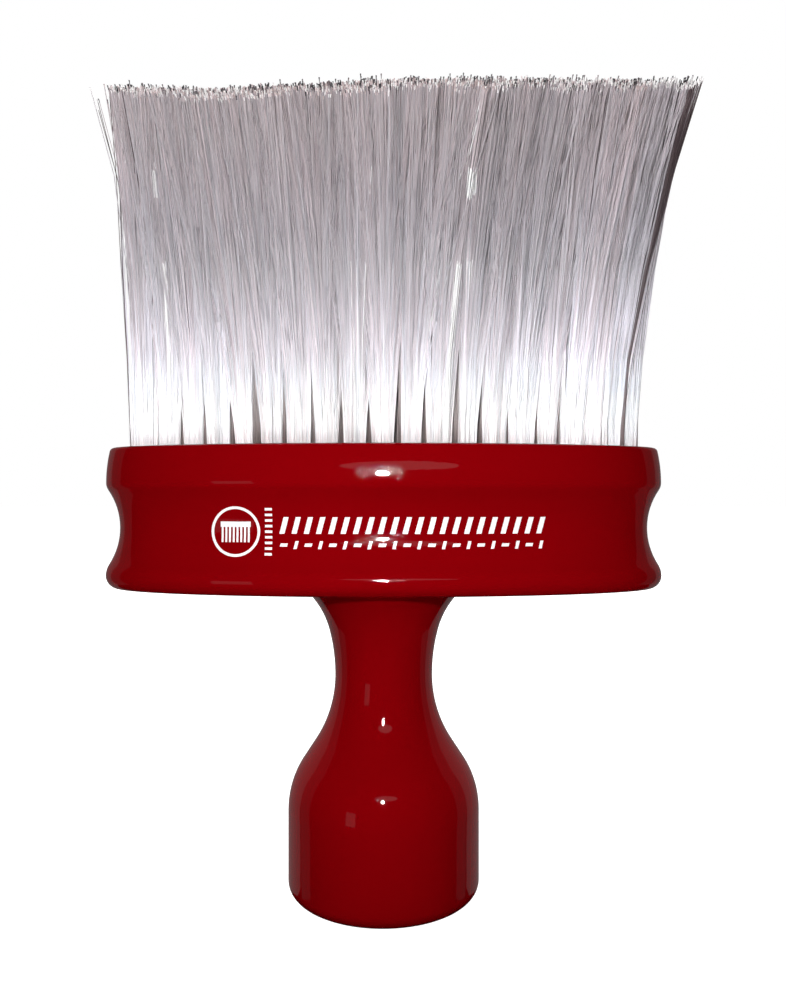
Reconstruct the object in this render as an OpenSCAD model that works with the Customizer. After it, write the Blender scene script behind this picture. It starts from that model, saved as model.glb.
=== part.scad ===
// Neck duster brush: an oval wooden head on a turned wooden handle, filled with nylon tufts.
// Each tuft is folded over a flat steel anchor and driven into its own hole.
// Millimetres, +Z up. The origin is the centre of the handle's flat base, the head's long side
// runs along X, and its front faces -Y.

/* [Head] */
// Length of the oval head at its lip
head_len = 125; // [121:0.5:132]
// Depth of the head, front to back, at its lip
head_depth = 48; // [46:0.5:54]
// Height of the head
head_h = 31.4; // [30:0.2:34]
// How far the cove under the band is cut in
cove_depth = 3.15; // [2:0.05:3.4]
// Radius of the cove
cove_r = 15.1; // [14:0.1:16]
// Radius of the lip's underside
lip_under_r = 2.9; // [2:0.1:3.4]
// Radius of the lip's upper side, where it runs into the cove
lip_over_r = 4.6; // [3:0.1:5]
// Radius of the soft corner between the cove and the band
crease_r = 3; // [2:0.1:3.5]
// Radius of the band's slight crown
crown_r = 32; // [28:1:60]
// Radius of the head's top edge
top_edge_r = 1; // [0.6:0.1:1.4]

/* [Handle] */
// Height of the handle, from its base to the head
handle_h = 68.4; // [66:0.2:76]
// Largest radius, at the barrel
barrel_r = 21.45; // [20:0.05:23]
// Radius of the barrel's bottom edge
base_edge_r = 3.4; // [2:0.1:5]
// Height where the barrel starts to round into the shoulder
shoulder_z = 19; // [16:0.5:20]
// Radius of the shoulder's rounding
shoulder_r = 19.7; // [18:0.1:21]
// Slope of the side between the shoulder and the neck, from upright
shoulder_slope = 33.6; // [30:0.2:35]
// Radius at the neck
neck_r = 10.95; // [10:0.05:12]
// Height of the neck's thinnest place
neck_z = 49; // [47:0.5:51]
// Radius of the hollow below the neck's thinnest place
neck_low_r = 27.2; // [25:0.1:28]
// Radius of the hollow above it
neck_high_r = 39.4; // [35:0.2:45]
// Where that hollow tightens into the flare under the head, as a slope from upright
flare_slope = 15; // [10:0.5:18]
// Radius of the flare
flare_r = 18.9; // [17:0.1:24]

/* [Tufts] */
// Half-length of each ring of holes, outer ring first
ring_half_len = [55, 48.5, 41]; // [40:0.5:57]
// Half-depth of each ring of holes, outer ring first
ring_half_depth = [18, 12, 6]; // [5.5:0.5:18]
// Number of tufts in each ring, outer ring first
ring_tufts = [42, 36, 30]; // [10:2:42]
// Number of tufts in the straight row in the middle
centre_tufts = 9; // [1:2:9]
// Distance between the tufts of the middle row
centre_pitch = 5.8; // [5.6:0.1:5.8]
// Height of the bristles above the head, along the middle
tuft_h = 78.2; // [50:0.2:90]
// How much lower the crowned trim is at the front and back edges of the fan
trim_drop = 5.2; // [1:0.1:8]
// How much longer the fan of tufts is at its tips than at the head
fan_len = 1.15; // [1.1:0.01:1.2]
// How much deeper it is
fan_depth = 1.22; // [1.2:0.01:1.3]
// Radius of a drilled hole
hole_r = 2.3; // [2.2:0.05:2.4]
// Depth of a drilled hole
hole_deep = 11; // [8:0.5:12]
// Radius of a tuft at its tip
tip_r = 2.9; // [2.4:0.1:2.9]

/* [Fasteners] */
// Length of a flat anchor, a little more than the hole's diameter
anchor_len = 5.2; // [4.9:0.1:5.3]
// Height of an anchor
anchor_h = 2; // [1.5:0.1:2.5]
// Thickness of an anchor
anchor_t = 0.4; // [0.3:0.05:0.5]
// Direction of the anchors from X
anchor_turn = 35; // [0:5:90]
// Length of the double-ended screw in the head
screw_up = 15; // [10:0.5:16]
// Length of the double-ended screw in the handle
screw_down = 24; // [15:0.5:28]
// Radius of the screw's thread
screw_r = 3.1; // [2.5:0.1:3.5]
// Pitch of the screw's thread
screw_pitch = 2.5; // [2:0.1:3]

/* [Hidden] */

lacquer_red = [0.55, 0.02, 0.03];
nylon_white = [0.86, 0.85, 0.87];
steel_grey = [0.62, 0.63, 0.65];

head_top = handle_h + head_h;
tip_z = head_top + tuft_h;
fan_half = ring_half_depth[0] * fan_depth + tip_r;     // half-depth of the fan at its tips
trim_r = (fan_half ^ 2 + trim_drop ^ 2) / (2 * trim_drop);
far = 2 * head_len;            // past anything, for cutting blocks
round_fn = 64;                 // true circles
oval_sides = 64;               // flat sides that stand for the oval
gap = 0.05;                    // clearance round a fastener
proud = 1;                     // how far a cutting shape stands past the face it cuts
root_r = hole_r - 0.1;         // a tuft where it sits in its hole
anchor_lift = 0.5;             // wood-side end of the tuft below its anchor

// Points of a circular arc in a profile of [x, z]
function arc(centre, r, from, to, steps) = [
    for (i = [0 : steps])
        let (a = from + (to - from) * i / steps)
        [centre.x + r * cos(a), centre.y + r * sin(a)]
];

// ---- Head ------------------------------------------------------------------

// The side profile is a chain of arcs that touch: the lip, the cove, the crease, the crown and
// the top edge. x is measured out from the lip's outline, z up from the head's underside.
cove_turn_low = acos(1 - cove_depth / (lip_over_r + cove_r));
cove_centre = [
    cove_r - cove_depth,
    lip_under_r + (lip_over_r + cove_r) * sin(cove_turn_low)
];
band_inset = 0.1;
crease_x = -band_inset - crease_r;
cove_turn_high = acos((cove_centre.x - crease_x) / (cove_r + crease_r));
crease_centre = [crease_x, cove_centre.y + (cove_r + crease_r) * sin(cove_turn_high)];
crown_centre = [-band_inset - crown_r, crease_centre.y];
crown_turn = asin((head_h - top_edge_r - crown_centre.y) / (crown_r - top_edge_r));
edge_centre = [
    crown_centre.x + (crown_r - top_edge_r) * cos(crown_turn),
    head_h - top_edge_r
];
edge_stop = 72;                // the end arcs stop here and run on straight, past the flat faces
run_on = 1;
function past(p, direction) = [p.x + run_on * cos(direction), p.y + run_on * sin(direction)];

under_arc = arc([-lip_under_r, lip_under_r], lip_under_r, -edge_stop, 0, 4);
top_arc = arc(edge_centre, top_edge_r, crown_turn, edge_stop, 3);
head_profile = concat(
    [past(under_arc[0], -90 - edge_stop)],
    under_arc,
    arc([-lip_over_r, lip_under_r], lip_over_r, cove_turn_low / 3, cove_turn_low, 2),
    arc(cove_centre, cove_r, 180 + cove_turn_low * 3 / 4, 180 - cove_turn_high, 6),
    arc(crease_centre, crease_r, -cove_turn_high * 2 / 3, 0, 2),
    arc(crown_centre, crown_r, crown_turn / 2, crown_turn, 1),
    [for (i = [1 : len(top_arc) - 1]) top_arc[i]],
    [past(top_arc[len(top_arc) - 1], 90 + edge_stop)]
);

// The head's sides: one oval for each point of the profile, joined up and closed at both ends
module head_sides() {
    rows = len(head_profile);
    points = [
        for (p = head_profile, i = [0 : oval_sides - 1])
            let (a = 360 * i / oval_sides)
            [(head_len / 2 + p.x) * cos(a), (head_depth / 2 + p.x) * sin(a), handle_h + p.y]
    ];
    function corner(row, i) = row * oval_sides + i % oval_sides;
    sides = [
        for (row = [0 : rows - 2], i = [0 : oval_sides - 1])
            [corner(row, i), corner(row + 1, i), corner(row + 1, i + 1), corner(row, i + 1)]
    ];
    bottom = [[for (i = [0 : oval_sides - 1]) i]];
    top = [[for (i = [oval_sides - 1 : -1 : 0]) corner(rows - 1, i)]];
    polyhedron(points, concat(bottom, sides, top));
}

module head_block() {
    color(lacquer_red) intersection() {
        head_sides();
        difference() {
            translate([-far / 2, -far / 2, handle_h]) cube([far, far, head_h]);
            for (ring = [0 : 2], p = ring_places(ring)) at_place(p) tuft_hole();
            for (p = centre_places) at_place(p) tuft_hole();
            screw_bore();
        }
    }
}

// ---- Handle ----------------------------------------------------------------

neck_low_centre = [neck_r + neck_low_r, neck_z];
neck_high_centre = [neck_r + neck_high_r, neck_z];
flare_start = [
    neck_high_centre.x - neck_high_r * cos(flare_slope),
    neck_high_centre.y + neck_high_r * sin(flare_slope)
];
flare_centre = [
    flare_start.x + flare_r * cos(flare_slope),
    flare_start.y - flare_r * sin(flare_slope)
];
flare_end = asin((handle_h - flare_centre.y) / flare_r);

handle_profile = concat(
    [[0, 0]],
    arc([barrel_r - base_edge_r, base_edge_r], base_edge_r, -90, 0, 6),
    arc([barrel_r - shoulder_r, shoulder_z], shoulder_r, 0, shoulder_slope, 6),
    arc(neck_low_centre, neck_low_r, 180 + shoulder_slope, 180, 8),
    arc(neck_high_centre, neck_high_r, 180 - flare_slope / 4, 180 - flare_slope, 3),
    arc(flare_centre, flare_r, 180 - flare_slope - (flare_end - flare_slope) / 6, 180 - flare_end, 5),
    [[0, handle_h]]
);

module handle() {
    color(lacquer_red) difference() {
        rotate_extrude($fn = round_fn) polygon(handle_profile);
        screw_bore();
    }
}

// ---- Double-ended screw ----------------------------------------------------

screw_core_r = 0.75 * screw_r;
screw_point = 4;               // length of each tapered point
point_r = 0.4;

module screw_bore() {
    translate([0, 0, handle_h - screw_down - proud])
        cylinder(h = screw_down + screw_up + 2 * proud, r = screw_r + gap, $fn = round_fn);
}

// The thread is a row of ridges on a core, tapered to a point at both ends
module dowel_screw() {
    low = handle_h - screw_down;
    high = handle_h + screw_up;
    ridges = floor((high - low - 2 * screw_point) / screw_pitch);
    start = (low + high - ridges * screw_pitch) / 2;
    thread = [
        for (i = [0 : ridges - 1], side = [0, 1])
            [side == 0 ? screw_core_r : screw_r, start + (i + side / 2) * screw_pitch]
    ];
    color(steel_grey) rotate_extrude($fn = round_fn) polygon(concat(
        [[0, low], [point_r, low]],
        thread,
        [[screw_core_r, start + ridges * screw_pitch], [point_r, high], [0, high]]
    ));
}

// ---- Tufts and anchors -----------------------------------------------------

oval_steps = 360;
function oval_point(ring, a) = [ring_half_len[ring] * cos(a), ring_half_depth[ring] * sin(a)];

// Distance run along a ring up to each of its steps, paired with the step's angle
function ring_run(ring) = [
    for (i = 0, run = 0;
         i <= oval_steps;
         run = run + norm(oval_point(ring, i + 1) - oval_point(ring, i)), i = i + 1)
        [run, i]
];

// Tufts evenly spaced along a ring. The outer ring starts half a space on, to stagger it.
function ring_places(ring) =
    let (run = ring_run(ring), whole = run[oval_steps][0], shift = ring == 0 ? 0.5 : 0)
    [
        for (k = [0 : ring_tufts[ring] - 1])
            oval_point(ring, lookup((k + shift) / ring_tufts[ring] * whole, run))
    ];

// The back half of a ring comes first along it, then the front half
function half_places(ring, front) =
    let (all = ring_places(ring), half = ring_tufts[ring] / 2)
    [for (k = [0 : half - 1]) all[front ? k + half : k]];

centre_places = [
    for (k = [0 : centre_tufts - 1]) [(k - (centre_tufts - 1) / 2) * centre_pitch, 0]
];

// Stands its children in the hole at p: Z along the tuft, which leans outwards, from the
// head's top face
module at_place(p) {
    lean = [(fan_len - 1) * p.x, (fan_depth - 1) * p.y, tuft_h];
    heading = atan2(lean.y, lean.x);
    translate([p.x, p.y, head_top])
        rotate([0, 0, heading])
        rotate([0, acos(lean.z / norm(lean)), 0])
        rotate([0, 0, anchor_turn - heading])
        children();
}

module anchor_block(spare) {
    size = [anchor_len, anchor_t, anchor_h] + 2 * spare * [1, 1, 1];
    translate([-size.x / 2, -size.y / 2, anchor_lift - hole_deep - spare]) cube(size);
}

module tuft_hole() {
    translate([0, 0, -hole_deep]) cylinder(h = hole_deep + 2 * proud, r = hole_r, $fn = round_fn);
    anchor_block(gap);
}

// One tuft: a root in the hole, slotted for its anchor, and a bundle that widens to the tips
module tuft() {
    past_tips = 2;
    grow = (tip_r - root_r) / tuft_h;
    difference() {
        union() {
            translate([0, 0, gap - hole_deep]) cylinder(h = hole_deep - gap, r = root_r, $fn = round_fn);
            cylinder(h = tuft_h + past_tips, r1 = root_r, r2 = tip_r + grow * past_tips, $fn = round_fn);
        }
        anchor_block(gap);
    }
}

module tufts(places) {
    color(nylon_white) intersection() {
        union() {
            for (p = places) at_place(p) tuft();
        }
        translate([0, 0, tip_z - trim_r])
            rotate([0, 90, 0]) cylinder(h = far, r = trim_r, center = true, $fn = round_fn);
    }
}

module anchors(places) {
    color(steel_grey) for (p = places) at_place(p) anchor_block(0);
}

head_block();
handle();
dowel_screw();
tufts(half_places(0, true));  // tufts_outer_front
tufts(half_places(0, false));  // tufts_outer_back
tufts(half_places(1, true));  // tufts_second_front
tufts(half_places(1, false));  // tufts_second_back
tufts(half_places(2, true));  // tufts_third_front
tufts(half_places(2, false));  // tufts_third_back
tufts(centre_places);  // tufts_centre_row
anchors(half_places(0, true));  // anchors_outer_front
anchors(half_places(0, false));  // anchors_outer_back
anchors(half_places(1, true));  // anchors_second_front
anchors(half_places(1, false));  // anchors_second_back
anchors(half_places(2, true));  // anchors_third_front
anchors(half_places(2, false));  // anchors_third_back
anchors(centre_places);  // anchors_centre_row
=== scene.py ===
import math

import bmesh
import bpy
import numpy as np
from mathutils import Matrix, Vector


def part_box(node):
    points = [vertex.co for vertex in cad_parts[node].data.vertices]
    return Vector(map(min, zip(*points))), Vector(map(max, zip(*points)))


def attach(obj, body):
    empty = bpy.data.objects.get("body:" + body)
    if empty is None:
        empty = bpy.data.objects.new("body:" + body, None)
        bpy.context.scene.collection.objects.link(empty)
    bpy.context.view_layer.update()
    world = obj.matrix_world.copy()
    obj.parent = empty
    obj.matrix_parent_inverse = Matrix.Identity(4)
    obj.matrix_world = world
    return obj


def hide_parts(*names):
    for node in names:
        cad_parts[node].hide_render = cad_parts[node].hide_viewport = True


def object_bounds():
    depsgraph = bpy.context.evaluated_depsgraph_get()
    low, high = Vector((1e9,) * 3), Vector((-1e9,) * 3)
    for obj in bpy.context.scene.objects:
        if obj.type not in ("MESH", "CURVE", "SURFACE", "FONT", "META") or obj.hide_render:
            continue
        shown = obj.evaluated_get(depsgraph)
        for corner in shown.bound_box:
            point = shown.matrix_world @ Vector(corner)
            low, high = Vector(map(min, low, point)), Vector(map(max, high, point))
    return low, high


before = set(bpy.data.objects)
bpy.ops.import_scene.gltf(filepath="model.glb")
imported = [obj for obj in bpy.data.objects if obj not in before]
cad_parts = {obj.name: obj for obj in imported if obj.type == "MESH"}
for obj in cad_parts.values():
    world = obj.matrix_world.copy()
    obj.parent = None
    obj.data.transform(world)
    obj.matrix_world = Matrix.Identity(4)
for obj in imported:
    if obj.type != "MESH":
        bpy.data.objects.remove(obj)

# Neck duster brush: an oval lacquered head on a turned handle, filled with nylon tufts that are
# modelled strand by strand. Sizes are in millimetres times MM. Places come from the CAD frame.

cad_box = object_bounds()
MM = 0.001
SMOOTH_UNDER = 35                # edges flatter than this, in degrees, are shaded smooth
RANDOM = np.random.default_rng(41)


# ---- Small helpers ---------------------------------------------------------

def deselect_all():
    bpy.ops.object.select_all(action="DESELECT")
    bpy.context.view_layer.objects.active = None


def select_only(*pieces):
    deselect_all()
    for piece in pieces:
        piece.select_set(True)
    bpy.context.view_layer.objects.active = pieces[0]


def place_in_mesh(piece):
    """Moves a piece's place, turn and scale into its mesh, so its object sits at the origin."""
    select_only(piece)
    bpy.ops.object.transform_apply(location=True, rotation=True, scale=True)


def own_copy(piece):
    """A copy of a piece with its own mesh, linked into the scene."""
    copy = piece.copy()
    copy.data = piece.data.copy()
    bpy.context.scene.collection.objects.link(copy)
    return copy


def joined(name, pieces):
    select_only(*pieces)
    bpy.ops.object.join()
    whole = bpy.context.object
    whole.name = whole.data.name = name
    return whole


def apply_all(piece):
    select_only(piece)
    for modifier in list(piece.modifiers):
        bpy.ops.object.modifier_apply(modifier=modifier.name)


def arc(centre, radius, start, stop, steps):
    """Points of a circular arc in a profile, from one angle to another, in degrees."""
    turns = [math.radians(start + (stop - start) * i / steps) for i in range(steps + 1)]
    return [(centre[0] + radius * math.cos(a), centre[1] + radius * math.sin(a)) for a in turns]


def drawn_up(name, sides, slices):
    """A solid made of oval slices: a disc at the lowest, extruded and resized up to each next."""
    half_len, half_depth, height = slices[0]
    deselect_all()
    bpy.ops.mesh.primitive_circle_add(
        vertices=sides, radius=1.0, fill_type="NGON", location=(0, 0, height))
    piece = bpy.context.object
    piece.name = piece.data.name = name
    bpy.ops.object.mode_set(mode="EDIT")
    bpy.ops.mesh.select_all(action="SELECT")
    bpy.ops.transform.resize(
        value=(half_len, half_depth, 1), center_override=(0, 0, height))
    for next_len, next_depth, next_height in slices[1:]:
        rise = next_height - height
        bpy.ops.mesh.extrude_region_move(TRANSFORM_OT_translate={"value": (0, 0, rise)})
        bpy.ops.transform.resize(
            value=(next_len / half_len, next_depth / half_depth, 1),
            center_override=(0, 0, next_height))
        half_len, half_depth, height = next_len, next_depth, next_height
    bpy.ops.object.mode_set(mode="OBJECT")
    face_outwards(piece)
    place_in_mesh(piece)
    return piece


def cut_away(piece, cutter):
    """Takes the cutter's solid out of the piece and removes the cutter."""
    cut = piece.modifiers.new("cut", "BOOLEAN")
    cut.operation = "DIFFERENCE"
    cut.solver = "EXACT"
    cut.object = cutter
    apply_all(piece)
    bpy.data.objects.remove(cutter)


def smooth_rounds(piece):
    select_only(piece)
    bpy.ops.object.shade_smooth_by_angle(angle=math.radians(SMOOTH_UNDER))


def face_outwards(piece):
    select_only(piece)
    bpy.ops.object.mode_set(mode="EDIT")
    bpy.ops.mesh.select_all(action="SELECT")
    bpy.ops.mesh.normals_make_consistent(inside=False)
    bpy.ops.object.mode_set(mode="OBJECT")


def finish_with(piece, material):
    """Gives a piece one material in place of any it has."""
    piece.data.materials.clear()
    piece.data.materials.append(material)


# ---- Tufts as the CAD model places them ------------------------------------

class Tuft:
    """One tuft: where its middle leaves the head, and how far it leans for each unit up."""

    def __init__(self, mouth, lean):
        self.mouth = mouth
        self.lean = lean


def tufts_of(node, head_top):
    """The tufts of one CAD node, from its separate solids, ordered along the head."""
    well_clear = head_top + 20 * MM      # above this, a tuft has only the corners of its trim
    foot_height = 0.2 * MM
    solid = bmesh.new()
    solid.from_mesh(bpy.data.objects[node].data)
    bmesh.ops.remove_doubles(solid, verts=solid.verts, dist=0.001 * MM)
    unseen = set(solid.verts)
    tufts = []
    while unseen:
        seed = unseen.pop()
        island, edge = [seed], [seed]
        while edge:
            vert = edge.pop()
            for link in vert.link_edges:
                other = link.other_vert(vert)
                if other in unseen:
                    unseen.remove(other)
                    island.append(other)
                    edge.append(other)
        points = np.array([tuple(vert.co) for vert in island])
        tip = points[points[:, 2] > well_clear].mean(axis=0)
        along = tip - points[points[:, 2].argmin()]
        along /= np.linalg.norm(along)
        reach = points @ along
        foot = points[reach < reach.min() + foot_height].mean(axis=0)
        lean = (tip - foot)[:2] / (tip - foot)[2]
        mouth = foot[:2] + lean * (head_top - foot[2])
        tufts.append(Tuft(mouth, lean))
    solid.free()
    return sorted(tufts, key=lambda tuft: tuft.mouth[0])


# ---- Head ------------------------------------------------------------------

HOLE_R = 2.3 * MM
HOLE_DEEP = 11 * MM
CUT_PROUD = 2 * MM               # how far a hole's cutter stands out of the wood


def head_outline():
    """The head's side as [out from the lip's outline, up from the underside], a chain of arcs."""
    lip_under, lip_over, cove, crease, crown, edge = 2.9, 4.6, 15.1, 3.0, 32.0, 1.0
    cove_depth, band_inset, height = 3.15, 0.1, 31.4
    low = math.acos(1 - cove_depth / (lip_over + cove))
    cove_at = (cove - cove_depth, lip_under + (lip_over + cove) * math.sin(low))
    crease_x = -band_inset - crease
    high = math.acos((cove_at[0] - crease_x) / (cove + crease))
    crease_at = (crease_x, cove_at[1] + (cove + crease) * math.sin(high))
    crown_at = (-band_inset - crown, crease_at[1])
    over = math.asin((height - edge - crown_at[1]) / (crown - edge))
    edge_at = (crown_at[0] + (crown - edge) * math.cos(over), height - edge)
    low, high, over = math.degrees(low), math.degrees(high), math.degrees(over)
    return (
        arc((-lip_under, lip_under), lip_under, -90, 0, 9)
        + arc((-lip_over, lip_under), lip_over, 0, low, 4)[1:]
        + arc(cove_at, cove, 180 + low, 180 - high, 16)[1:]
        + arc(crease_at, crease, -high, 0, 6)[1:]
        + arc(crown_at, crown, 0, over, 6)[1:]
        + arc(edge_at, edge, over, 90, 7)[1:]
    )


def tuft_hole(mouth, lean, head_top, pattern):
    """One drilled hole, as a solid to cut with, along its tuft's lean."""
    hole = own_copy(pattern)
    up = Vector((lean[0], lean[1], 1)).normalized()
    hole.rotation_euler = up.to_track_quat("Z", "Y").to_euler()
    hole.location = (mouth[0], mouth[1], head_top)
    return hole


def head(tufts, screw_box):
    low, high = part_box("head_block")
    half_len, half_depth = (high[0] - low[0]) / 2, (high[1] - low[1]) / 2
    slices = [
        (half_len + out * MM, half_depth + out * MM, low[2] + up * MM)
        for out, up in head_outline()
    ]
    piece = drawn_up("head_lacquered", 192, slices)
    deselect_all()
    bpy.ops.mesh.primitive_cylinder_add(
        vertices=24, radius=HOLE_R, depth=HOLE_DEEP + CUT_PROUD,
        location=(0, 0, (CUT_PROUD - HOLE_DEEP) / 2))
    pattern = bpy.context.object
    place_in_mesh(pattern)
    holes = [tuft_hole(tuft.mouth, tuft.lean, high[2], pattern) for tuft in tufts]
    bpy.data.objects.remove(pattern)
    cut_away(piece, joined("tuft_holes", holes + [screw_hole(screw_box)]))
    smooth_rounds(piece)
    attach(piece, "root")
    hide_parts("head_block")
    return piece


def screw_hole(box):
    """The bore for the double-ended screw, as a solid to cut with."""
    play = 0.05 * MM
    low, high = box
    deselect_all()
    bpy.ops.mesh.primitive_cylinder_add(
        vertices=48, radius=(high[0] - low[0]) / 2 + play, depth=high[2] - low[2] + 2 * MM,
        location=(0, 0, (low[2] + high[2]) / 2))
    return bpy.context.object


# ---- Handle ----------------------------------------------------------------

def handle_outline():
    """The handle's side as [radius, height], a chain of arcs from the base up to the head."""
    barrel, base_edge, height = 21.45, 3.4, 68.4
    shoulder_z, shoulder, slope = 19.0, 19.7, 33.6
    neck, neck_z, below, above = 10.95, 49.0, 27.2, 39.4
    flare_from, flare = 15.0, 18.9
    turn = math.radians(flare_from)
    start = (neck + above * (1 - math.cos(turn)), neck_z + above * math.sin(turn))
    flare_at = (start[0] + flare * math.cos(turn), start[1] - flare * math.sin(turn))
    flare_to = math.degrees(math.asin((height - flare_at[1]) / flare))
    straight = shoulder_z - base_edge
    return (
        arc((barrel - base_edge, base_edge), base_edge, -90, 0, 10)
        + [(barrel, base_edge + straight * quarter / 4) for quarter in (1, 2, 3, 4)]
        + arc((barrel - shoulder, shoulder_z), shoulder, 0, slope, 12)[1:]
        + arc((neck + below, neck_z), below, 180 + slope, 180, 16)
        + arc((neck + above, neck_z), above, 180, 180 - flare_from, 6)[1:]
        + arc(flare_at, flare, 180 - flare_from, 180 - flare_to, 8)[1:]
    )


def handle(screw_box):
    slices = [(radius * MM, radius * MM, height * MM) for radius, height in handle_outline()]
    piece = drawn_up("handle_lacquered", 160, slices)
    cut_away(piece, screw_hole(screw_box))
    smooth_rounds(piece)
    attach(piece, "root")
    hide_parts("handle")
    return piece


# ---- Print on the head -----------------------------------------------------

def slanted_bar(width, height, slant):
    """A flat bar standing in the XZ plane, leaning by slant, in small faces to take a curve."""
    deselect_all()
    bpy.ops.mesh.primitive_plane_add(size=1, rotation=(math.radians(90), 0, 0))
    bar = bpy.context.object
    bar.scale = (width, height, 1)
    place_in_mesh(bar)
    for vert in bar.data.vertices:
        vert.co.x += slant * vert.co.z / height
    bpy.ops.object.mode_set(mode="EDIT")
    bpy.ops.mesh.select_all(action="SELECT")
    bpy.ops.mesh.subdivide(number_cuts=4)
    bpy.ops.object.mode_set(mode="OBJECT")
    return bar


def flat_ring(radius, width):
    """A flat ring standing in the XZ plane."""
    deselect_all()
    bpy.ops.mesh.primitive_circle_add(
        vertices=72, radius=radius, fill_type="NOTHING", rotation=(math.radians(90), 0, 0))
    ring = bpy.context.object
    place_in_mesh(ring)
    bpy.ops.object.mode_set(mode="EDIT")
    bpy.ops.mesh.select_all(action="SELECT")
    bpy.ops.mesh.extrude_region_move()
    inner = (radius - width) / radius
    bpy.ops.transform.resize(value=(inner, inner, inner), center_override=(0, 0, 0))
    bpy.ops.object.mode_set(mode="OBJECT")
    return ring


def copies_of(shape, places):
    """Copies of a shape at each [x, z]. The shape itself is used up."""
    copies = []
    for x, z in places:
        copy = own_copy(shape)
        copy.location = (x, 0, z)
        copies.append(copy)
    bpy.data.objects.remove(shape)
    return copies


def spaced(middle, pitch, count):
    """Places in a row, evenly spaced about its middle."""
    return [middle + pitch * (i - (count - 1) / 2) for i in range(count)]


def print_on(head_piece):
    """White ornament on the front of the cove: a comb in a ring, and rows of slanted bars."""
    emblem_x, emblem_z = -30.4, 81.7
    in_front = -40 * MM
    along_row = spaced(6.26, 2.52, 22)
    teeth = spaced(emblem_x, 0.8, 8)
    ticks = spaced(emblem_z, 1.15, 9)
    bars = [
        # width, height, slant and places in mm
        (1.05, 3.4, 0.9, [(x, 83.0) for x in along_row]),
        (1.5, 0.65, 0.2, [(x, 79.0) for x in along_row[::2]]),
        (0.65, 1.6, 0.4, [(x, 79.0) for x in along_row[1::2]]),
        (6.4, 1.1, 0.0, [(emblem_x, emblem_z + 1.5)]),
        (0.4, 3.4, 0.0, [(x, emblem_z - 0.5) for x in teeth]),
        (1.5, 0.5, 0.0, [(-23.4, z) for z in ticks]),
    ]
    shapes = copies_of(flat_ring(5.2 * MM, 0.55 * MM), [(emblem_x * MM, emblem_z * MM)])
    for width, height, slant, places in bars:
        bar = slanted_bar(width * MM, height * MM, slant * MM)
        shapes += copies_of(bar, [(x * MM, z * MM) for x, z in places])
    piece = joined("white_ornament", shapes)
    place_in_mesh(piece)
    for vert in piece.data.vertices:
        vert.co.y = in_front
    wrap = piece.modifiers.new("wrap", "SHRINKWRAP")
    wrap.wrap_method = "PROJECT"
    wrap.use_project_y = True
    wrap.use_positive_direction = True
    wrap.use_negative_direction = False
    wrap.target = head_piece
    thick = piece.modifiers.new("thick", "SOLIDIFY")
    thick.thickness = 0.05 * MM
    thick.offset = 0
    apply_all(piece)
    face_outwards(piece)
    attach(piece, "root")
    return piece


# ---- Bristles --------------------------------------------------------------

STRAND_R = 0.095 * MM
TIP_FLARE = 1.8                  # the cut end is a little swollen
WISPS = 46                       # strands gather in wisps inside a tuft
ROWS = np.array([-0.03, 0.06, 0.25, 0.5, 0.76, 0.993, 1.0])      # a strand's rings, by height

# A tuft's radius in mm, by height
SPREAD_AT = [-0.03, 0.0, 0.06, 0.25, 0.5, 0.76, 1.0]
SPREAD_R = [2.15, 2.2, 2.3, 2.6, 3.9, 5.5, 6.8]

# Sideways reach of the tips in mm, from the left end of the head to the right
RING_END = 55 * MM
FAN_AT = [-1.0, -0.85, -0.5, -0.2, 0.1, 0.4, 0.75, 0.9, 1.0]
FAN_BY = [2.0, -2.8, -6.8, -3.2, 2.4, 6.4, 9.6, 9.0, 6.2]
STRAYS = [-8.2, -7.9, -5.8, -5.5, -5.2, -3.8, -3.4, -2.2]        # strands off the left end

# The trim: uneven along the head, in mm at places in mm, and crowned across it
TRIM_AT = [-60, -52, -44, -35, -23, 0, 23, 46, 58, 68]
TRIM_BY = [0.0, -1.1, -2.0, -2.6, -2.0, -1.0, -0.6, -0.2, 0.3, 1.6]
CROWN_DROP, CROWN_HALF = 6.5 * MM, 28 * MM

# The bristle colour map is made of strips, each for one shade from 0 to 1
SHADES = 128
# The darkest strip carries painted shade and the glint strip a painted highlight
PAINTED_SHADE_DARK, PLAIN_LOW, PLAIN_HIGH, GLINT = 0.012, 0.05, 0.93, 0.98


def trim_height(crest, tips):
    """Height of the trim at each tip."""
    uneven = np.interp(tips[:, 0] / MM, TRIM_AT, TRIM_BY) * MM
    return crest + uneven - CROWN_DROP * (tips[:, 1] / CROWN_HALF) ** 2


def strand_pattern():
    """One upright strand: a three-sided ring drawn up row by row and closed at both ends."""
    deselect_all()
    bpy.ops.mesh.primitive_circle_add(vertices=3, radius=STRAND_R, fill_type="NGON")
    piece = bpy.context.object
    bpy.ops.object.mode_set(mode="EDIT")
    bpy.ops.mesh.select_all(action="SELECT")
    for _ in ROWS[1:]:
        bpy.ops.mesh.extrude_region_move(TRANSFORM_OT_translate={"value": (0, 0, MM)})
    bpy.ops.mesh.select_all(action="SELECT")
    bpy.ops.mesh.quads_convert_to_tris()
    bpy.ops.mesh.normals_make_consistent(inside=False)
    bpy.ops.object.mode_set(mode="OBJECT")
    mesh = piece.data
    corners = np.array([tuple(vert.co) for vert in mesh.vertices])
    row_of = np.rint(corners[:, 2] / MM).astype(int)
    faces = np.array([tuple(face.vertices) for face in mesh.polygons])
    ends = np.array([len(set(row_of[list(face)])) == 1 for face in faces])
    bpy.data.objects.remove(piece)
    corners[row_of == len(ROWS) - 1] *= TIP_FLARE
    return corners[:, :2], row_of, faces, ends


def spots_in_disc(count):
    turn = RANDOM.uniform(0, 2 * math.pi, count)
    out = np.sqrt(RANDOM.uniform(0, 1, count))
    return np.stack([np.cos(turn), np.sin(turn)], axis=1) * out[:, None]


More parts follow.
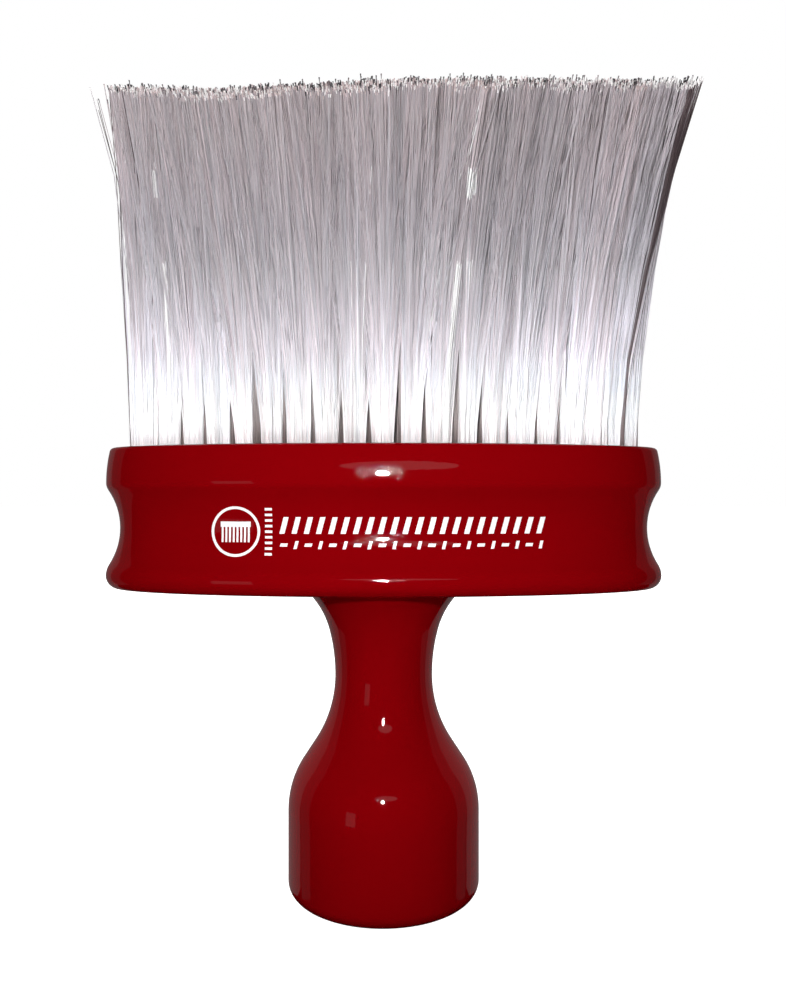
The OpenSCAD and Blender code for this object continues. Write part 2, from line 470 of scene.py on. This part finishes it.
class Bundle:
    """The strands of some tufts: which tuft and which of its wisps each is in, and its seat.

    A seat is a spot in a disc of radius 1, which stands for the tuft's section at any height.
    A tuft's place is -1 at the left end of the head and 1 at the right."""

    def __init__(self, tufts, per_tuft):
        loose, thinnest, thickest = 0.09, 0.82, 1.18
        self.tufts = len(tufts)
        self.wisps = self.tufts * WISPS
        self.count = self.tufts * per_tuft
        self.owner = np.repeat(np.arange(self.tufts), per_tuft)
        self.wisp = self.owner * WISPS + RANDOM.integers(0, WISPS, self.count)
        self.mouth = np.array([tuft.mouth for tuft in tufts])
        self.place = self.mouth[:, 0] / RING_END
        self.seat = spots_in_disc(self.wisps)[self.wisp] + self.strand_noise(loose, 2)
        self.seat /= np.maximum(1, np.linalg.norm(self.seat, axis=1))[:, None]
        self.girth = RANDOM.uniform(thinnest, thickest, self.tufts)[self.owner]

    def wisp_noise(self, spread, *axes):
        return RANDOM.normal(0, spread, (self.wisps, *axes))[self.wisp]

    def strand_noise(self, spread, *axes):
        return RANDOM.normal(0, spread, (self.count, *axes))

    def some_wisps(self, odds):
        """A random choice of wisps, as a mask of their strands."""
        return (RANDOM.uniform(0, 1, self.wisps) < odds)[self.wisp]

    def some_strands(self, odds):
        return RANDOM.uniform(0, 1, self.count) < odds


def tip_reach(bundle):
    """How far each tip goes sideways, as [strand, xy], and which strands lie on their own."""
    lean_out, narrow, end_calm = 0.2, 0.6, 0.6
    place, owner = bundle.place, bundle.owner
    tuft_reach = np.interp(place, FAN_AT, FAN_BY) * MM
    tuft_reach = np.stack([tuft_reach, lean_out * bundle.mouth[:, 1]], axis=1)
    tuft_reach += RANDOM.normal(0, 0.9 * MM, (bundle.tufts, 2))

    wisp_place = np.repeat(place, WISPS)
    wisp_reach = RANDOM.normal(0, 1.8 * MM, (bundle.wisps, 2)) * (1, narrow)
    wisp_reach[:, 0] *= 1 - end_calm * wisp_place ** 4
    crossing = RANDOM.uniform(0, 1, bundle.wisps) < 0.06
    far = np.abs(RANDOM.normal(0, 5.5 * MM, bundle.wisps))
    either_way = RANDOM.choice([-1, 1], bundle.wisps)
    way = np.where(np.abs(wisp_place) > 0.7, -np.sign(wisp_place), either_way)
    wisp_reach[crossing, 0] += (far * way)[crossing]

    reach = tuft_reach[owner] + wisp_reach[bundle.wisp] + bundle.strand_noise(0.35 * MM, 2)
    lone = bundle.some_strands(0.02)
    lone_reach = RANDOM.normal(0, 4.5 * MM, int(lone.sum()))
    reach[lone, 0] += lone_reach * (1 - np.abs(place[owner[lone]]))
    reach[lone, 1] += 0.8 * MM * np.sign(bundle.mouth[owner[lone], 1])
    return reach, lone


def stray_reach(bundle):
    """Further reach of the few strands that stand off the left end of the head."""
    at_left_end, outermost = -0.97, -0.75
    stray = np.zeros(bundle.count)
    if bundle.place.min() < at_left_end:
        in_end_tuft = bundle.owner == bundle.place.argmin()
        outer = np.flatnonzero(in_end_tuft & (bundle.seat[:, 0] < outermost))
        stray[outer[:len(STRAYS)]] = np.array(STRAYS) * MM
    return stray


def cut_tops(bundle, tips, stray, crest):
    """Height of each cut tip, and which tips get painted shade. The tuft's outer side is cut lower.
    """
    top = trim_height(crest, tips) + bundle.wisp_noise(0.2 * MM)
    top += RANDOM.uniform(-0.8, 0.3, bundle.count) * MM
    outward = np.maximum(bundle.seat[:, 1] * np.sign(bundle.mouth[bundle.owner, 1]), 0)
    top -= 2.2 * MM * outward ** 2
    longer = bundle.some_strands(0.02)
    top[longer] += RANDOM.uniform(0.3, 1.0, int(longer.sum())) * MM
    # Tips that get painted shade: most strands of some wisps, a few others, and all the longer ones
    lot = RANDOM.uniform(0, 1, bundle.count)
    painted_shade_tip = lot < np.where(bundle.some_wisps(0.2), 0.65, 0.07)
    painted_shade_tip &= bundle.some_strands(np.where(outward < 0.5, 1.0, 0.5))
    painted_shade_tip[longer] = True
    top[painted_shade_tip] += 0.35 * MM
    top[stray != 0] += 2.5 * MM
    return top, painted_shade_tip


def strand_shades(bundle, tips, lone, stray):
    """Shade of each strand: lighter towards the head's ends, uneven by wisp, with odd ones."""
    end_from, bright_x, bright_half, bright_y = 63.5 * MM, 20 * MM, 0.8 * MM, -24 * MM
    place, owner = bundle.place, bundle.owner
    shade = 0.38 + 0.12 * place + 0.75 * place ** 2
    shade = (shade + RANDOM.normal(0, 0.04, bundle.tufts))[owner]
    shade += bundle.wisp_noise(0.09) * (1.15 - 0.4 * place[owner]) + bundle.strand_noise(0.03)
    shade[bundle.some_strands(0.04)] += 0.28
    shade[lone] = RANDOM.uniform(0.1, 1.1, int(lone.sum()))
    shade = np.clip(shade, PLAIN_LOW, PLAIN_HIGH)

    # Painted shade on dark strands, most at the right end and among the strays; painted glints on a
    # few wisps and one lock at the front
    at_end = (tips[:, 0] > end_from) | (stray != 0)
    shade[bundle.some_strands(np.where(at_end, 0.28, 0.004))] = PAINTED_SHADE_DARK
    shade[bundle.some_wisps(0.18) & at_end] = PAINTED_SHADE_DARK
    shade[bundle.some_wisps(0.008) & ~at_end] = GLINT
    in_painted_glint_lock = np.abs(tips[:, 0] - bright_x) < bright_half
    shade[in_painted_glint_lock & (tips[:, 1] < bright_y)] = GLINT
    return shade


def strand_lines(tufts, per_tuft, head_top, crest):
    """Centre lines of every strand, as [strand, row, xyz], with its place across the colour map.

    Strips of the map come in pairs: a cut tip with a painted glint on the first and one with
    painted shade on the second."""
    bundle = Bundle(tufts, per_tuft)
    mouth, place, owner = bundle.mouth, bundle.place, bundle.owner
    reach, lone = tip_reach(bundle)
    curve = (1.5 + np.where(place < 0, 1.3, 0.4) * place ** 6)[owner]
    curve += bundle.wisp_noise(0.15)
    bow = bundle.wisp_noise(0.5 * MM, 2) + bundle.strand_noise(0.15 * MM, 2)
    stray = stray_reach(bundle)
    tips = mouth[owner] + reach + bundle.seat * SPREAD_R[-1] * MM
    top, painted_shade_tip = cut_tops(bundle, tips, stray, crest)
    shade = strand_shades(bundle, tips, lone, stray)

    uneven_up_to = 0.4               # tufts differ in girth only in their lower part
    lines = np.empty((bundle.count, len(ROWS), 3))
    for row, share in enumerate(ROWS):
        up = max(share, 0)
        girth = bundle.girth if share < uneven_up_to else 1
        radius = np.interp(share, SPREAD_AT, SPREAD_R) * MM * girth
        lines[:, row, :2] = mouth[owner] + bundle.seat * np.reshape(radius, (-1, 1))
        lines[:, row, :2] += reach * (up ** curve)[:, None] + bow * math.sin(math.pi * up)
        lines[:, row, 0] += stray * up ** 4
        lines[:, row, 2] = head_top + share * (top - head_top)
    pair = np.floor(shade * SHADES / 2)
    return lines, (pair + 0.5 * painted_shade_tip + 0.25) * 2 / SHADES


def bristles(name, node, tufts, per_tuft, heights, pattern, material):
    """One group of tufts as a single mesh of strands, each mapped up one strip of its shade."""
    corners, row_of, faces, ends = pattern
    lines, shade = strand_lines(tufts, per_tuft, *heights)
    count, sides = len(lines), len(corners)
    spin = RANDOM.uniform(0, 2 * math.pi, count)
    turn = np.stack([np.cos(spin), -np.sin(spin), np.sin(spin), np.cos(spin)], axis=1)
    around = np.einsum("sij,vj->svi", turn.reshape(-1, 2, 2), corners)
    verts = lines[:, row_of, :]
    verts[:, :, :2] += around
    loops = (faces[None] + (np.arange(count) * sides)[:, None, None]).reshape(-1)
    mesh = bpy.data.meshes.new(name)
    mesh.vertices.add(count * sides)
    mesh.vertices.foreach_set("co", verts.reshape(-1))
    mesh.loops.add(len(loops))
    mesh.loops.foreach_set("vertex_index", loops.astype(np.int32))
    face_count = count * len(faces)
    mesh.polygons.add(face_count)
    mesh.polygons.foreach_set("loop_start", np.arange(face_count, dtype=np.int32) * 3)
    mesh.polygons.foreach_set("use_smooth", np.tile(~ends, count))
    mesh.update(calc_edges=True)
    strip = (np.floor(shade * SHADES) + 0.5) / SHADES
    across = np.array([-0.2, 0.0, 0.2]) / SHADES
    uv = np.empty((count, len(faces), 3, 2))
    uv[..., 0] = strip[:, None, None] + across[None, None, :]
    uv[..., 1] = np.clip(ROWS[row_of[faces]], 0.001, 0.999)[None]
    layer = mesh.uv_layers.new(name="OFBake")
    layer.data.foreach_set("uv", uv.reshape(-1))
    mesh.validate()
    piece = bpy.data.objects.new(name, mesh)
    bpy.context.scene.collection.objects.link(piece)
    mesh.materials.append(material)
    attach(piece, "root")
    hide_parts(node)


# ---- Materials -------------------------------------------------------------

def new_material(name):
    material = bpy.data.materials.new(name)
    material.use_nodes = True
    tree = material.node_tree
    return material, tree, tree.nodes["Principled BSDF"]


def add(tree, kind, **values):
    """A node with its properties and its unlinked inputs set."""
    node = tree.nodes.new(kind)
    for name, value in values.items():
        if name in node.inputs:
            node.inputs[name].default_value = value
        else:
            setattr(node, name, value)
    return node


def ramp(tree, source, stops, kind="LINEAR"):
    """A colour ramp on a value, from a list of (place, colour)."""
    node = tree.nodes.new("ShaderNodeValToRGB")
    node.color_ramp.interpolation = kind
    first, last = node.color_ramp.elements
    first.position, first.color = stops[0][0], (*stops[0][1], 1)
    last.position, last.color = stops[-1][0], (*stops[-1][1], 1)
    for place, colour in stops[1:-1]:
        node.color_ramp.elements.new(place).color = (*colour, 1)
    tree.links.new(source, node.inputs["Fac"])
    return node.outputs["Color"]


def math_node(tree, operation, *values):
    """A Math node on numbers and sockets, as its output socket."""
    node = tree.nodes.new("ShaderNodeMath")
    node.operation = operation
    for socket, value in zip(node.inputs, values):
        if isinstance(value, (int, float)):
            socket.default_value = value
        else:
            tree.links.new(value, socket)
    return node.outputs[0]


def times(tree, a, b):
    """One colour multiplied by another."""
    mix = add(tree, "ShaderNodeMix", data_type="RGBA", blend_type="MULTIPLY")
    mix.inputs["Factor"].default_value = 1.0
    tree.links.new(a, mix.inputs["A"])
    tree.links.new(b, mix.inputs["B"])
    return mix.outputs["Result"]


def blended(tree, share, a, b):
    """One colour blended into another by a share that changes over the surface."""
    mix = add(tree, "ShaderNodeMix", data_type="RGBA")
    tree.links.new(share, mix.inputs["Factor"])
    tree.links.new(a, mix.inputs["A"])
    tree.links.new(b, mix.inputs["B"])
    return mix.outputs["Result"]


def grey(value):
    return (value, value, value)


def new_group(name, inputs, outputs):
    """A node group with named sockets, with its input and output nodes."""
    group = bpy.data.node_groups.new(name, "ShaderNodeTree")
    for way, sockets in (("INPUT", inputs), ("OUTPUT", outputs)):
        for title, kind in sockets.items():
            group.interface.new_socket(title, in_out=way, socket_type="NodeSocket" + kind)
    return group, group.nodes.new("NodeGroupInput"), group.nodes.new("NodeGroupOutput")


def lacquer_group():
    """Sprayed lacquer over wood: its colour, and the height of its orange peel and of the grain."""
    group, way_in, way_out = new_group(
        "lacquer_over_wood",
        {"Vector": "Vector", "Colour": "Color", "Deep Colour": "Color"},
        {"Colour": "Color", "Height": "Float", "Roughness": "Float"})
    link = group.links.new
    cloud = add(group, "ShaderNodeTexNoise", Scale=38.0, Detail=3.0, Roughness=0.5)
    link(way_in.outputs["Vector"], cloud.inputs["Vector"])
    stretch = add(group, "ShaderNodeVectorMath", operation="MULTIPLY")
    stretch.inputs[1].default_value = (0.12, 1.0, 1.0)
    link(way_in.outputs["Vector"], stretch.inputs[0])
    grain = add(group, "ShaderNodeTexNoise", Scale=520.0, Detail=4.0, Roughness=0.6)
    link(stretch.outputs[0], grain.inputs["Vector"])
    peel = add(group, "ShaderNodeTexNoise", Scale=620.0, Detail=1.0, Roughness=0.4)
    link(way_in.outputs["Vector"], peel.inputs["Vector"])
    dust = add(group, "ShaderNodeTexVoronoi", Scale=2200.0, Randomness=1.0)
    link(way_in.outputs["Vector"], dust.inputs["Vector"])
    speck = math_node(group, "SUBTRACT", 0.2, dust.outputs["Distance"])
    speck = math_node(group, "MAXIMUM", speck, 0.0)
    depth = math_node(group, "MULTIPLY", cloud.outputs["Fac"], 0.7)
    depth = math_node(group, "MULTIPLY_ADD", grain.outputs["Fac"], 0.3, depth)
    colour = blended(group, depth, way_in.outputs["Colour"], way_in.outputs["Deep Colour"])
    link(colour, way_out.inputs["Colour"])
    height = math_node(group, "MULTIPLY", peel.outputs["Fac"], 0.12)
    height = math_node(group, "MULTIPLY_ADD", grain.outputs["Fac"], 0.1, height)
    height = math_node(group, "MULTIPLY_ADD", speck, 1.1, height)
    link(height, way_out.inputs["Height"])
    rough = math_node(group, "MULTIPLY_ADD", cloud.outputs["Fac"], 0.12, 0.3)
    link(rough, way_out.inputs["Roughness"])
    return group


def red_lacquer(name, group, turn):
    """High gloss red lacquer. The wood's grain runs along X, turned to suit the piece."""
    material, tree, shader = new_material(name)
    place = tree.nodes.new("ShaderNodeTexCoord")
    mapping = tree.nodes.new("ShaderNodeMapping")
    mapping.inputs["Rotation"].default_value = turn
    tree.links.new(place.outputs["Object"], mapping.inputs["Vector"])
    lacquer = add(tree, "ShaderNodeGroup", node_tree=group)
    lacquer.inputs["Colour"].default_value = (0.2, 0.0002, 0.002, 1)
    lacquer.inputs["Deep Colour"].default_value = (0.165, 0.0001, 0.0013, 1)
    tree.links.new(mapping.outputs["Vector"], lacquer.inputs["Vector"])
    bump = add(tree, "ShaderNodeBump", Strength=0.06, Distance=0.0006)
    tree.links.new(lacquer.outputs["Height"], bump.inputs["Height"])
    tree.links.new(bump.outputs["Normal"], shader.inputs["Normal"])
    tree.links.new(lacquer.outputs["Colour"], shader.inputs["Base Color"])
    tree.links.new(lacquer.outputs["Roughness"], shader.inputs["Roughness"])
    shader.inputs["Specular IOR Level"].default_value = 0.0
    shader.inputs["Coat Weight"].default_value = 1.0
    shader.inputs["Coat Roughness"].default_value = 0.03
    shader.inputs["Coat IOR"].default_value = 1.5
    tree.links.new(bump.outputs["Normal"], shader.inputs["Coat Normal"])
    return material


def filament_group():
    """Clear-white filament: its colour by its shade, its height and the colour of its body there.

    Strips of shade come in pairs: a cut tip with a painted glint on the first and one with painted
    shade on the second."""
    group, way_in, way_out = new_group(
        "clear_filament",
        {"Shade": "Float", "Height": "Float", "Body": "Color"},
        {"Colour": "Color"})
    link = group.links.new
    shade, up = way_in.outputs["Shade"], way_in.outputs["Height"]
    strip = math_node(group, "FLOOR", math_node(group, "MULTIPLY", shade, float(SHADES)))

    # Painted sheen that comes and goes up the strand, in its own way on each strip
    spot = group.nodes.new("ShaderNodeCombineXYZ")
    link(math_node(group, "MULTIPLY", strip, 3.7), spot.inputs["X"])
    link(math_node(group, "MULTIPLY", up, 4.5), spot.inputs["Y"])
    waves = add(group, "ShaderNodeTexNoise", noise_dimensions="2D", Scale=1.0, Detail=1.0)
    link(spot.outputs["Vector"], waves.inputs["Vector"])
    painted_sheen = ramp(group, waves.outputs["Fac"], [(0.3, grey(0.88)), (0.7, grey(1.16))])

    # Tone by shade, the darkest strips apart in brown as painted shade, and a slight tint of its
    # own on each strip
    brown = (0.24, 0.19, 0.19)
    tone = ramp(group, shade, [
        (0.0, brown), (0.03, brown), (0.04, grey(0.84)), (0.5, grey(1.0)), (0.94, grey(1.3)),
    ])
    chance = add(group, "ShaderNodeTexWhiteNoise", noise_dimensions="1D")
    link(strip, chance.inputs["W"])
    tint = ramp(group, chance.outputs["Value"], [
        (0.0, (1.05, 0.98, 0.99)), (0.45, (1.01, 1.0, 1.01)), (1.0, (0.95, 0.98, 1.01)),
    ])
    toned = times(group, times(group, times(group, way_in.outputs["Body"], tone), painted_sheen), tint)

    # Painted glints: white on the lightest strips where the sheen is high
    glint_strip = math_node(group, "GREATER_THAN", shade, 0.96)
    glint_mask = math_node(group, "GREATER_THAN", waves.outputs["Fac"], 0.47)
    white = group.nodes.new("ShaderNodeRGB")
    white.outputs[0].default_value = (1, 1, 1, 1)
    toned = blended(group, math_node(group, "MULTIPLY", glint_strip, glint_mask), toned, white.outputs[0])

    # Cut tips: a painted glint on the first strip of a pair, painted shade on the second
    painted_glint_tip = ramp(group, chance.outputs["Value"], [
        (0.0, (0.62, 0.5, 0.5)), (0.3, (0.9, 0.78, 0.79)), (0.5, (1, 0.97, 0.97)),
    ], "CONSTANT")
    painted_shade_tip = ramp(group, chance.outputs["Value"], [
        (0.0, (0.03, 0.025, 0.03)), (0.5, (0.12, 0.09, 0.1)), (0.8, (0.3, 0.24, 0.25)),
    ], "CONSTANT")
    second = math_node(group, "MODULO", strip, 2.0)
    painted_tip_light = blended(group, second, painted_glint_tip, painted_shade_tip)
    painted_shade_reaches_lower = math_node(group, "MULTIPLY_ADD", second, 0.003, up)
    at_tip = math_node(group, "GREATER_THAN", painted_shade_reaches_lower, 0.991)
    link(blended(group, at_tip, toned, painted_tip_light), way_out.inputs["Colour"])
    return group


def nylon(name, group, body_colours):
    """Nylon filament. Its map runs across the shades and up each strand to its cut tip."""
    material, tree, shader = new_material(name)
    link = tree.links.new
    strand = add(tree, "ShaderNodeUVMap", uv_map="OFBake")
    parts = tree.nodes.new("ShaderNodeSeparateXYZ")
    link(strand.outputs["UV"], parts.inputs["Vector"])
    filament = add(tree, "ShaderNodeGroup", node_tree=group)
    link(parts.outputs["X"], filament.inputs["Shade"])
    link(parts.outputs["Y"], filament.inputs["Height"])
    link(ramp(tree, parts.outputs["Y"], body_colours), filament.inputs["Body"])
    link(filament.outputs["Colour"], shader.inputs["Base Color"])
    shader.inputs["Roughness"].default_value = 0.38
    shader.inputs["IOR"].default_value = 1.53
    return material


def steel():
    """Drawn steel, for the hidden anchors and the screw."""
    material, tree, shader = new_material("drawn_steel")
    place = tree.nodes.new("ShaderNodeTexCoord")
    streak = add(tree, "ShaderNodeTexNoise", Scale=900.0, Detail=4.0)
    tree.links.new(place.outputs["Object"], streak.inputs["Vector"])
    tint = ramp(tree, streak.outputs["Fac"], [(0.3, (0.42, 0.42, 0.44)), (0.7, (0.62, 0.63, 0.65))])
    tree.links.new(tint, shader.inputs["Base Color"])
    rough = math_node(tree, "MULTIPLY_ADD", streak.outputs["Fac"], 0.25, 0.22)
    tree.links.new(rough, shader.inputs["Roughness"])
    shader.inputs["Metallic"].default_value = 1.0
    return material


def white_ink():
    """Screen-printed ink, slightly uneven over the gloss."""
    material, tree, shader = new_material("white_print")
    place = tree.nodes.new("ShaderNodeTexCoord")
    mottle = add(tree, "ShaderNodeTexNoise", Scale=1500.0, Detail=2.0)
    tree.links.new(place.outputs["Object"], mottle.inputs["Vector"])
    tint = ramp(tree, mottle.outputs["Fac"], [(0.3, (0.78, 0.75, 0.76)), (0.6, (0.9, 0.88, 0.89))])
    tree.links.new(tint, shader.inputs["Base Color"])
    shader.inputs["Roughness"].default_value = 0.35
    return material


# ---- Camera, light and floor -----------------------------------------------

def camera():
    data = bpy.data.cameras.new("camera")
    data.lens = 32.6
    data.clip_start = 0.01
    view = bpy.data.objects.new("camera", data)
    view.location = (2.1 * MM, -205 * MM, 88.2 * MM)
    view.rotation_euler = (math.radians(90), 0, 0)
    bpy.context.scene.collection.objects.link(view)
    bpy.context.scene.camera = view


def panel(name, place, target, size, power, shape="RECTANGLE"):
    """An area light aimed at a point, unseen by the camera itself."""
    data = bpy.data.lights.new(name, "AREA")
    data.shape = shape
    data.size, data.size_y = size
    data.energy = power
    lamp = bpy.data.objects.new(name, data)
    lamp.location = place
    lamp.rotation_euler = (Vector(target) - Vector(place)).to_track_quat("-Z", "Y").to_euler()
    lamp.visible_camera = False
    bpy.context.scene.collection.objects.link(lamp)
    return lamp


def room():
    """White behind the brush for the camera, and dim soft light from all round, none in gloss."""
    world = bpy.data.worlds.new("studio")
    bpy.context.scene.world = world
    world.use_nodes = True
    world.cycles_visibility.glossy = False
    tree = world.node_tree
    link = tree.links.new
    ray = tree.nodes.new("ShaderNodeLightPath")
    seen = add(tree, "ShaderNodeMix", data_type="RGBA")
    link(ray.outputs["Is Camera Ray"], seen.inputs["Factor"])
    seen.inputs["A"].default_value = (*grey(0.01), 1)
    seen.inputs["B"].default_value = (*grey(1.0), 1)
    link(seen.outputs["Result"], tree.nodes["Background"].inputs["Color"])


def floor():
    deselect_all()
    bpy.ops.mesh.primitive_circle_add(vertices=96, radius=12, fill_type="NGON", location=(0, 0, 0))
    ground = bpy.context.object
    ground.name = "floor"
    ground.visible_glossy = False
    material, tree, shader = new_material("pale_floor")
    link = tree.links.new
    ray = tree.nodes.new("ShaderNodeLightPath")
    shader.inputs["Base Color"].default_value = (*grey(0.3), 1)
    shader.inputs["Roughness"].default_value = 0.9
    shader.inputs["Specular IOR Level"].default_value = 0.0
    shader.inputs["Emission Color"].default_value = (*grey(1.0), 1)
    glow = math_node(tree, "MULTIPLY", ray.outputs["Is Camera Ray"], 1.05)
    link(glow, shader.inputs["Emission Strength"])
    finish_with(ground, material)


def lights():
    middle = (0, 0, 90 * MM)
    panel("flash", (-2 * MM, -205 * MM, 116 * MM), middle, (8 * MM, 12 * MM), 0.415, "ELLIPSE")
    panel("card", (13 * MM, -215 * MM, 140 * MM), middle, (110 * MM, 26 * MM), 0.0037, "ELLIPSE")
    panel("window", (-0.24, -0.32, 0.035), middle, (0.08, 0.11), 0.008)
    fills = [
        # name, place, size in m, power in W
        ("top_front", (0, -0.5, 1.0), 0.5, 0.9),
        ("top_left", (-0.6, -0.7, 0.8), 0.4, 2.5),
        ("top_back", (0, 0.4, 1.2), 0.6, 9.0),
        ("back_left", (-0.6, 0.8, 0.5), 0.5, 12.0),
        ("back_right", (0.6, 0.8, 0.5), 0.5, 12.0),
    ]
    for name, place, size, power in fills:
        panel(name, place, middle, (size, size), power).visible_glossy = False
    for side in (-1, 1):
        panel("backdrop", (side * 0.5, 0.7, 0.15), middle, (1.0, 1.2), 0.62)
        panel("side_card", (side * 0.87, 0.22, 0.15), middle, (0.3, 1.2), 0.066)


# ---- Everything ------------------------------------------------------------

GROUPS = [
    # bristle piece, CAD node, which tufts of the node, strands in each tuft
    ("bristles_outer_front_left", "tufts_outer_front", slice(None, 11), 420),
    ("bristles_outer_front_right", "tufts_outer_front", slice(11, None), 420),
    ("bristles_outer_back_left", "tufts_outer_back", slice(None, 11), 420),
    ("bristles_outer_back_right", "tufts_outer_back", slice(11, None), 420),
    ("bristles_second_front", "tufts_second_front", slice(None), 290),
    ("bristles_second_back", "tufts_second_back", slice(None), 290),
    ("bristles_third_front", "tufts_third_front", slice(None), 240),
    ("bristles_third_back", "tufts_third_back", slice(None), 240),
    ("bristles_centre_row", "tufts_centre_row", slice(None), 240),
]

bpy.context.scene.view_settings.view_transform = "Standard"
camera()
room()
floor()
lights()

head_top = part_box("head_block")[1][2]
tufts = {node: tufts_of(node, head_top) for node in dict.fromkeys(row[1] for row in GROUPS)}
all_tufts = [tuft for node in tufts.values() for tuft in node]
screw_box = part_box("dowel_screw")

lacquer = lacquer_group()
quarter_turn = math.radians(90)
head_piece = head(all_tufts, screw_box)
finish_with(head_piece, red_lacquer("red_lacquer_head", lacquer, (0, 0, 0)))
finish_with(print_on(head_piece), white_ink())
handle_piece = handle(screw_box)
finish_with(handle_piece, red_lacquer("red_lacquer_handle", lacquer, (0, quarter_turn, 0)))

# Body colours by height: outer roots white, partly painted highlight; inner roots painted shade
upper = [
    (0.28, (0.72, 0.69, 0.73)), (0.39, (0.57, 0.54, 0.575)), (0.5, (0.48, 0.455, 0.48)),
    (0.62, (0.435, 0.405, 0.43)), (0.78, (0.435, 0.395, 0.415)), (0.89, (0.46, 0.415, 0.43)),
    (1.0, (0.46, 0.41, 0.425)),
]
outer_root_painted_highlight = [(0.0, (0.95, 0.93, 0.93)), (0.1, (0.95, 0.95, 0.95)), (0.19, (0.83, 0.83, 0.86))]
inner_root_painted_shade = [(0.0, (0.16, 0.12, 0.115)), (0.06, (0.34, 0.28, 0.27)), (0.16, (0.56, 0.5, 0.49))]
filament = filament_group()
outer_nylon = nylon("nylon_outer", filament, outer_root_painted_highlight + upper)
inner_nylon = nylon("nylon_inner", filament, inner_root_painted_shade + upper)
pattern = strand_pattern()
heights = (head_top, cad_box[1][2])
for name, node, which, per_tuft in GROUPS:
    finish = outer_nylon if "outer" in name else inner_nylon
    bristles(name, node, tufts[node][which], per_tuft, heights, pattern, finish)

metal = steel()
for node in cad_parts:
    if node.startswith("anchors") or node == "dowel_screw":
        finish_with(bpy.data.objects[node], metal)
